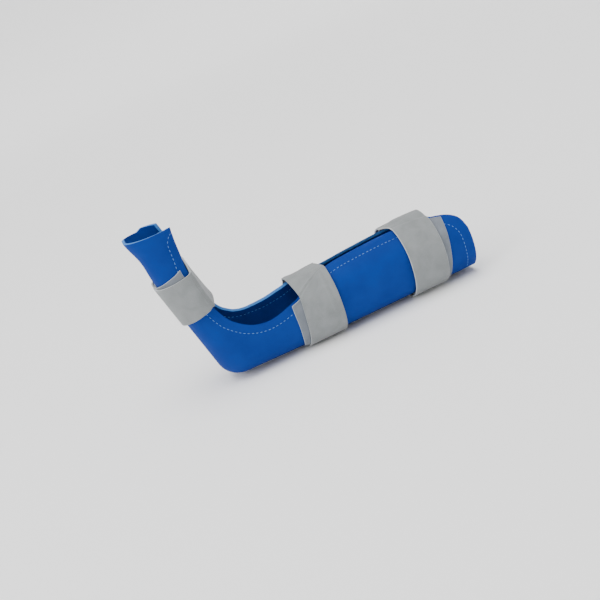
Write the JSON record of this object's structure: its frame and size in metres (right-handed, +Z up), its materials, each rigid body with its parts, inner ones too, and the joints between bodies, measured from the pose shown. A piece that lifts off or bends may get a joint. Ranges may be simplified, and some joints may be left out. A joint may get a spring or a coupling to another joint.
{
  "type": "leg splint",
  "caption": "Open foam trough splint for the foot and calf, bent at the ankle and closed over shin and instep by wide wrap straps.",
  "frame": {"origin": "middle of the overall box at the surface that the splint rests on", "axes": "+X from the heel to the knee along the calf, +Y to the far wall, +Z up towards the toes and the open side"},
  "size_m": [0.4502, 0.1246, 0.2455],
  "materials": {
    "shell": "matt blue closed-cell foam with a smooth skin and paler cut edges",
    "landing": "grey brushed loop fabric",
    "strap": "grey brushed loop fabric, foam backed"
  },
  "bodies": {
    "root": {"splint_shell": "shell", "foot_landing": "landing", "foot_strap": "strap", "ankle_landing": "landing", "ankle_strap": "strap", "calf_landing": "landing", "calf_strap": "strap"}
  },
  "joints": []
}
